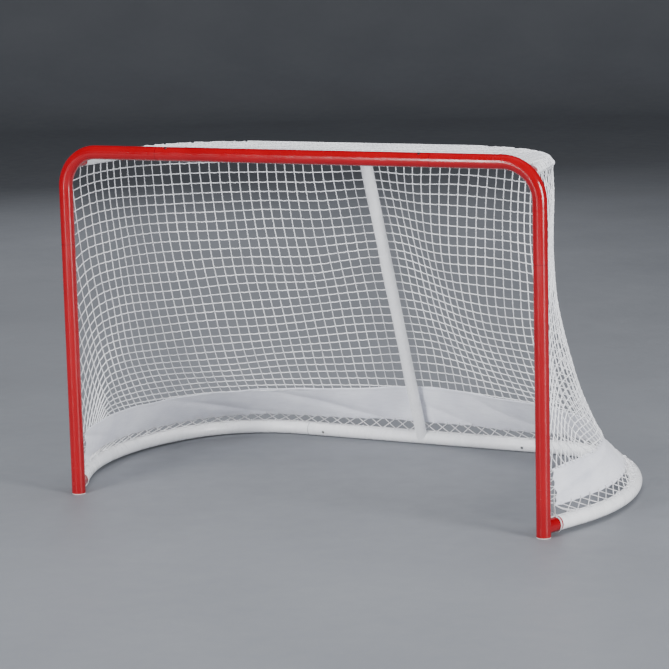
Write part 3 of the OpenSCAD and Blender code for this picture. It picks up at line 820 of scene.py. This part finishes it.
def make_top_net():
    """The panel over the shelf: laced behind the crossbar, turned down over the shelf tube."""
    turn_out = 0.006        # how far outside the shelf's axis the panel turns down
    on_shelf = SHELF_TUBE_R + TWINE_R + 2 * SKIN
    sag_depth, sag_in, uneven, wander_by = 0.010, 0.25, 0.0015, 0.003
    b = Build()
    outline = shelf_outline(turn_out)
    right = outline[len(outline) // 2:]
    front = FRONT_Y + TUBE_R + 0.012
    rear = right[:, 1].max()
    top = SHELF_Z + on_shelf

    def reach_y(x):
        return np.interp(abs(x), right[:, 0], right[:, 1])

    def reach_x(y):
        order = np.argsort(right[:, 1])
        return np.interp(y, right[order, 1], right[order, 0])

    def lift(x, y):
        rise = (CROSSBAR_Z - top) * (1 - smooth(front, front + 0.09, y))
        inside = np.clip((reach_x(y) - np.abs(x)) / sag_in, 0, 1)
        inside = inside * np.clip((rear - y) / sag_in, 0, 1)
        sag = sag_depth * np.sin(np.clip((y - front) / (rear - front), 0, 1) * math.pi) * inside
        return top + rise - sag + uneven * waves(x, y, 31, 5, 8, 30) * inside

    def over(x, y, nx, ny):
        """Down over the outside of the tube, from its top."""
        a = np.linspace(0.15, math.radians(95), 6)
        out = np.sin(a) * on_shelf - turn_out
        return np.stack([x + nx * out, y + ny * out, SHELF_Z + np.cos(a) * on_shelf], 1)

    def outward(x, y):
        d = np.hypot(right[:, 0] - abs(x), right[:, 1] - y)
        k = min(max(int(np.argmin(d)), 1), len(right) - 2)
        tx, ty = right[k + 1] - right[k - 1]
        length = math.hypot(tx, ty)
        return -ty / length * (1 if x >= 0 else -1), tx / length

    knots = []
    ys = rear - 0.004 - MESH * np.arange(0, 30)
    ys = ys[ys > front + 0.006]
    last = int(right[:, 0].max() / MESH)
    for k in range(-last, last + 1):
        x = k * MESH
        y1 = reach_y(x)
        if y1 < front + 0.02:
            continue
        y = np.concatenate([[front], ys[ys < y1 - 0.004][::-1], [y1]])
        wander = wander_by * waves(x + 0 * y, y, 37, 5, 8, 30) * smooth(0, 0.05, y1 - y)
        line = np.stack([x + wander, y, lift(x, y)], 1)
        line[-1, 2] = top - 0.0008
        nx, ny = outward(x, y1)
        b.tube(np.concatenate([line[:-1], over(x, y1, nx, ny)]), TWINE_R)
        knots.extend(line[1:-1])
    for y in ys:
        half = reach_x(y)
        x = MESH * np.arange(-last, last + 1)
        x = x[np.abs(x) < half - 0.004]
        if not len(x):
            continue
        nx, ny = outward(half, y)
        wander = wander_by * waves(x, y + 0 * x, 37, 5, 8, 30)
        line = np.stack([x + wander, y + 0 * x, lift(x, y + 0 * x)], 1)
        left_end, right_end = over(-half, y, -nx, ny)[::-1], over(half, y, nx, ny)
        b.tube(np.concatenate([left_end, line, right_end]), TWINE_R)
    knots = np.array(knots)
    b.copies(*KNOT, knot_places(knots, np.tile([1.0, 0, 0], (len(knots), 1)),
                                np.tile([0, 1.0, 0], (len(knots), 1))))
    x = np.linspace(-0.80, 0.80, 90)
    border = CROSSBAR_Z + uneven * waves(x, 0 * x, 41, 4, 10, 40)
    b.tube(np.stack([x, front + 0 * x, border], 1), 0.0024)
    obj = b.object("top_netting", TWINE, "netting")
    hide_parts("net_top")


make_top_net()


def make_shelf_seam():
    """The seam where the top panel meets the wall, outside the shelf, and the first meshes."""
    b = Build()
    outline = shelf_outline(SHELF_TUBE_R + 0.004)[6:-6]     # it ends short of the sockets
    path = np.column_stack([outline, np.full(len(outline), SHELF_Z - 0.001)])
    b.tube(path, 0.0030, 7)
    b.tube(helix(path, 0.0046, 0.019), 0.0014, 5)
    for side in (-1, 1):
        for j in range(net_grid.shape[1]):
            s, z = net_grid[0, j]
            if s > edge_s(z) - 0.02 or (j == 0 and side < 0):
                continue
            first = on_net(np.array([s]), np.array([z]), side)[0]
            second = on_net(net_grid[1, j, :1], net_grid[1, j, 1:], side)[0]
            start = first + (first - second) * 0.1
            seam = path[np.argmin(np.hypot(path[:, 0] - start[0], path[:, 1] - start[1]))]
            b.tube(spline([seam, (seam + first) / 2, first], 0.01), TWINE_R)
    b.object("shelf_seam", TWINE, "netting")


make_shelf_seam()


# ---------------------------------------- skirt
SKIRT_INSET, SCALLOP, SCALLOP_PITCH = 0.042, 0.012, 0.033       # of its front edges
CROWN_AT, CROWN_WIDTH = 0.2, 0.6
FOLD_HEIGHT, WAVE_HEIGHT, SKIRT_IN = 0.0095, 0.0032, 0.004
LOW_EDGE_PULL, TOP_EDGE_WAVE = 0.0035, 0.0025
CLOTH_HALF, HEM_HALF = 0.0004, 0.0006       # half the cloth's thickness, and what a hem adds
CLOTH_TALL, HEM_SEAM = 0.15, 0.0095         # height of the texture; stitches from an edge
STITCH_PITCH, STITCH_LENGTH = 0.0075, 0.0045


def skirt_edge(z):
    """How far forward the skirt reaches at each height: it is scalloped between its lace points."""
    scallop = np.abs(np.sin((z - SKIRT_LOW) / SCALLOP_PITCH * math.pi))
    return edge_s(z) - SKIRT_INSET - SCALLOP * scallop


def skirt_place(s, z):
    """Middle surface of the skirt, with its folds."""
    v = (z - SKIRT_LOW) / (SKIRT_HIGH - SKIRT_LOW)
    z = z + SKIRT_CROWN * v * np.exp(-((s - CROWN_AT) / CROWN_WIDTH) ** 2)
    p = wall(s, z)
    n = wall_normal(s, z)
    phase = (v * 0.16 + s * 0.33) * 15 + 1.5 * waves(s, v * 0.15, 51, 4, 2.0, 6.0)
    ridge = (1 - np.abs(np.sin(phase * 1.35))) ** 2.2
    where = smooth(-0.35, 0.45, waves(s, v * 0.3, 53, 5, 2.0, 7.0))
    fold = ridge * where * np.sin(math.pi * np.clip(0.12 + v * 0.8, 0, 1))
    long_wave = waves(s, v * 0.2, 57, 5, 6.0, 22.0) * (0.4 + 0.6 * np.sin(math.pi * v))
    out = FOLD_HEIGHT * fold + WAVE_HEIGHT * long_wave - SKIRT_IN
    pull = np.abs(np.sin(s / LACE_PITCH * math.pi)) ** 0.7
    low_edge = 1 - smooth(0, 0.22, v)
    p = p + n * out[..., None]
    p[..., 2] += LOW_EDGE_PULL * low_edge * pull
    top_edge = smooth(0.8, 1, v)
    p[..., 2] += TOP_EDGE_WAVE * top_edge * waves(s, 0 * s, 59, 4, 10, 40)
    return p


def make_skirt():
    """The band of cloth, with thicker hems and a line of stitches in each long hem."""
    columns, rows = 660, 23
    v = np.linspace(0, 1, rows)
    v = v - np.sin(v * math.tau) * 0.06
    z = SKIRT_LOW + (SKIRT_HIGH - SKIRT_LOW) * v
    share = np.linspace(-1, 1, columns)
    along = share[:, None] * skirt_edge(z)[None, :]
    z = np.broadcast_to(z, along.shape)
    p = skirt_place(along, z)
    across = np.gradient(p, axis=0)
    up = np.gradient(p, axis=1)
    n = np.cross(up, across)
    n /= np.linalg.norm(n, axis=2, keepdims=True)
    vv = np.broadcast_to(v, along.shape)
    hem = np.maximum(1 - smooth(0.06, 0.075, vv), smooth(0.925, 0.94, vv))
    end = smooth(0.989, 0.993, np.abs(share))[:, None] + 0 * vv
    half = CLOTH_HALF + HEM_HALF * np.maximum(hem, end)
    outer, inner = p + n * half[..., None], p - n * half[..., None]
    verts = np.concatenate([outer.reshape(-1, 3), inner.reshape(-1, 3)])
    i, j = np.meshgrid(np.arange(columns - 1), np.arange(rows - 1), indexing="ij")
    a = (i * rows + j).ravel()
    m = columns * rows
    faces = [np.stack([a, a + rows, a + rows + 1, a + 1], 1),
             np.stack([a + 1, a + rows + 1, a + rows, a], 1) + m]
    i, j = np.arange(columns - 1), np.arange(rows - 1)
    for line, flip in ((i * rows, False), (i * rows + rows - 1, True)):
        f = np.stack([line, line + m, line + m + rows, line + rows], 1)
        faces.append(f[:, ::-1] if flip else f)
    for line, flip in ((j, True), ((columns - 1) * rows + j, False)):
        f = np.stack([line, line + m, line + m + 1, line + 1], 1)
        faces.append(f[:, ::-1] if flip else f)
    faces = np.concatenate(faces)
    u = along.ravel()
    w = (vv * CLOTH_TALL).ravel()
    uv = np.stack([np.concatenate([u, u]), np.concatenate([w, w])], 1)
    b = Build()
    b.add(verts, faces, uv[faces].tolist())
    skirt = b.object("skirt", CLOTH, "skirt_cloth")
    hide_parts("skirt_left", "skirt_back", "skirt_right")

    stitches = Build()
    for height in (SKIRT_LOW + HEM_SEAM, SKIRT_HIGH - HEM_SEAM):
        reach = float(skirt_edge(height)) - 0.006
        for start in np.arange(-reach, reach - 0.005, STITCH_PITCH):
            line = np.linspace(start, start + STITCH_LENGTH, 3)
            heights = np.full(3, height)
            place = skirt_place(line, heights)
            out = wall_normal(line, heights)
            for face in (1, -1):
                stitches.tube(place + out * 0.0011 * face, 0.00045, 4)
    thread = stitches.object("skirt_stitching", CORD, "lacing_cord")


make_skirt()


# ---------------------------------------- lacing
def base_axis(s, lift=0.0, out=0.0):
    """Point over the axis of the base tube; s is negative on the left."""
    s = np.asarray(s, float)
    x, y = run_point(BASE_RUN, np.abs(s), out)
    y = y + REAR_Y
    return np.stack([x * np.where(s < 0, -1, 1), y, base_z(y) + lift], -1)


def make_base_lacing():
    """The cord on the base, and two crossing zigzags from it to the skirt's lower hem."""
    end_gap, uneven, hem_up, through = 0.10, 0.003, 0.006, 0.0035
    b = Build()
    end = BASE_LEN - NET_GAP
    s = np.linspace(-end, end, 760)
    b.tube(base_axis(s, ON_TUBE), CORD_R)
    count = int((BASE_LEN - end_gap) / LACE_PITCH)
    for phase in (0, 1):
        points = []
        for k in range(-count, count + 1):
            at = k * LACE_PITCH
            jitter = rng.uniform(-uneven, uneven)
            share = (at + jitter) / (BASE_LEN - NET_GAP)
            if (k + count + phase) % 2:
                hole = np.array([share * edge_s(SKIRT_LOW)]), np.array([SKIRT_LOW + hem_up])
                place, out = skirt_place(*hole)[0], wall_normal(*hole)[0]
                points.append(place - out * through)
                points.append(place + [0, 0, 0.004])
                points.append(place + out * through)
            else:
                foot = base_axis(at + jitter, TUBE_R + 2 * CORD_R + 0.0012)
                out = 0.9 * (base_axis(at + jitter, 0, 0.004) - base_axis(at + jitter, 0))
                points.append(foot - out - [0, 0, 0.003])
                points.append(foot)
                points.append(foot + out - [0, 0, 0.003])
        b.tube(spline(points, 0.008), LACE_R)
    obj = b.object("base_lacing", CORD, "lacing_cord")
    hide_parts("lacing_base")


make_base_lacing()


def front_line(side, depth):
    """Line behind a post and its half of the crossbar, depth behind their axes, going up."""
    lowest = 0.11
    foot = np.linspace(lowest, CROSSBAR_Z - BEND_R, 60)
    bend = np.linspace(0, math.pi / 2, 24)[1:]
    bar = np.linspace(POST_X - BEND_R, 0, 50)[1:]
    x = np.concatenate([foot * 0 + POST_X, POST_X - BEND_R + BEND_R * np.cos(bend), bar])
    z = np.concatenate([foot, CROSSBAR_Z - BEND_R + BEND_R * np.sin(bend), bar * 0 + CROSSBAR_Z])
    return np.stack([x * side, FRONT_Y + depth + 0 * x, z], 1)


def make_front_lacing():
    """The cord behind the posts and the crossbar, and the one that winds round it and the net."""
    winding_at, winding_r, winding_pitch = TUBE_R + 0.0066, 0.0048, 0.030
    b = Build()
    for side in (-1, 1):
        b.tube(front_line(side, ON_TUBE), CORD_R)
        winding = helix(front_line(side, winding_at), winding_r, winding_pitch, 0.4 * side)
        b.tube(winding, THIN_LACE_R, 5)
    obj = b.object("front_lacing", CORD, "lacing_cord")
    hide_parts("lacing_front")


make_front_lacing()


def make_tie(side, name, node):
    """Two turns of cord round a socket, knotted on top, and strands up to the skirt's corner."""
    turns_made, advance = 2.1, 0.005544
    strand_r, corner_in = 0.0016, 0.004
    b = Build()
    start = BASE_LEN - 0.062
    k = np.linspace(0, 1, 64)
    centre = base_axis(side * (start + advance * k))
    ahead = base_axis(side * (start + 0.01)) - base_axis(side * start)
    ahead /= np.linalg.norm(ahead)
    up = np.array([0, 0, 1.0]) - ahead * ahead[2]
    up /= np.linalg.norm(up)
    beside = np.cross(ahead, up)
    a = math.radians(80) + k * math.tau * turns_made
    turns = centre + ON_TUBE * (np.cos(a)[:, None] * beside + np.sin(a)[:, None] * up)
    turns += ahead * (0.0022 * np.sin(a + 1))[:, None]
    b.tube(turns, CORD_R - 0.0001, 7)
    top = base_axis(side * (start + 0.002)) + up * (ON_TUBE + 0.003)
    knot = knot_shape(0.0050, 0.0019, 20, 6)
    b.copies(*knot, [np.stack([top, ahead, beside, up])])

    def on_edge(z):
        """A lace point near the skirt's front edge at height z."""
        return skirt_place((skirt_edge(z) - corner_in) * side, z)[0]

    low_z = np.array([SKIRT_LOW])
    low = skirt_place((skirt_edge(low_z) - corner_in) * side, low_z + 0.006)[0]
    mid = on_edge(np.array([SKIRT_LOW + 0.070]))
    for target, bow in ((low, 0.003), (low + [0, 0.004, 0.001], -0.002), (mid, 0.004)):
        line = [top, (top + target) / 2 + beside * bow * side, target]
        b.tube(spline(line, 0.01), strand_r)
    for reach, lift in ((0.085, 0.0022), (0.100, 0.0030)):
        foot = base_axis(side * (BASE_LEN - reach - 0.060), TUBE_R + CORD_R + lift)
        line = [low + [0, 0, 0.002], (low + foot) / 2 - [0, 0, 0.004], foot]
        b.tube(spline(line, 0.01), strand_r)
        b.copies(*knot_shape(0.0036, LACE_R, 16, 6), [np.stack([foot, ahead, beside, up])])
    zigzag = []
    for k in range(9):
        z = np.array([SKIRT_LOW + 0.010 + 0.0145 * k])
        zigzag.append(wall(edge_s(z) * side, z)[0] if k % 2 else on_edge(z))
    b.tube(spline(zigzag, 0.008), THIN_LACE_R)
    tail = [top, top + beside * 0.012 + up * 0.006, top + beside * 0.026 - up * 0.004,
            top + beside * 0.031 - up * 0.022, top + beside * 0.0315 - up * 0.038]
    b.tube(spline(tail, 0.004), LACE_R)
    obj = b.object(name, CORD, "lacing_cord")
    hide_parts(node)


make_tie(-1, "corner_tie_left", "tie_left")
make_tie(1, "corner_tie_right", "tie_right")


# ---------------------------------------- studio
def make_studio():
    """A plain floor that curves up into a round backdrop, with soft lights.

    Only the strips and the box show in the gloss; the rest would wash the red out.
    """
    flat, bend, top, sides = 15, 4, 9.0, 96
    profile = [(6.0, 0.0), (12.0, 0.0), (flat, 0.0)]
    profile += [(flat + bend * math.sin(a), bend - bend * math.cos(a))
                for a in np.linspace(0.1, math.pi / 2, 12)]
    profile += [(flat + bend, top)]
    verts, faces = [], []
    for r, z in profile:
        verts += [(r * math.cos(k * math.tau / sides), r * math.sin(k * math.tau / sides), z)
                  for k in range(sides)]
    for ring in range(len(profile) - 1):
        for k in range(sides):
            a, c = ring * sides + k, ring * sides + (k + 1) % sides
            faces.append((a, a + sides, c + sides, c))
    faces.append(tuple(range(sides)))
    mesh = bpy.data.meshes.new("studio_floor")
    mesh.from_pydata(verts, [], faces)
    mesh.polygons.foreach_set("use_smooth", [True] * len(mesh.polygons))
    mesh.materials.append(floor_look())
    floor = bpy.data.objects.new("studio_floor", mesh)
    bpy.context.scene.collection.objects.link(floor)

    world = bpy.data.worlds.new("studio")
    bpy.context.scene.world = world
    world.use_nodes = True
    background = world.node_tree.nodes["Background"]
    background.inputs["Color"].default_value = (0.80, 0.83, 0.88, 1)
    background.inputs["Strength"].default_value = 0.26
    world.cycles_visibility.glossy = False

    def lamp(name, place, target, width, height, power, glossy=False):
        data = bpy.data.lights.new(name, "AREA")
        data.shape = "RECTANGLE"
        data.size, data.size_y = width, height
        data.energy = power
        obj = bpy.data.objects.new(name, data)
        obj.location = place
        obj.rotation_euler = (Vector(target) - Vector(place)).to_track_quat("-Z", "Y").to_euler()
        obj.visible_glossy = glossy
        bpy.context.scene.collection.objects.link(obj)

    lamp("key", (-3.2, -8.6, 3.4), (0, 0, 0.5), 3.5, 3.0, 900)
    lamp("overhead", (0.5, 0.2, 6.5), (0, 0, 0), 4.0, 4.0, 330)
    lamp("rear", (-4.5, 6.5, 4.5), (0, 0, 0.5), 3.0, 3.0, 220)
    lamp("left_strip", (-2.2, -8.0, 2.2), (0, -0.5, 0.7), 0.45, 3.8, 230, glossy=True)
    lamp("right_box", (6.8, -2.4, 2.2), (0, -0.3, 0.7), 1.8, 3.8, 680, glossy=True)
    lamp("low_strip", (1.5, -5.6, 0.12), (0, -0.5, 1.2), 5.0, 0.10, 5, glossy=True)


make_studio()
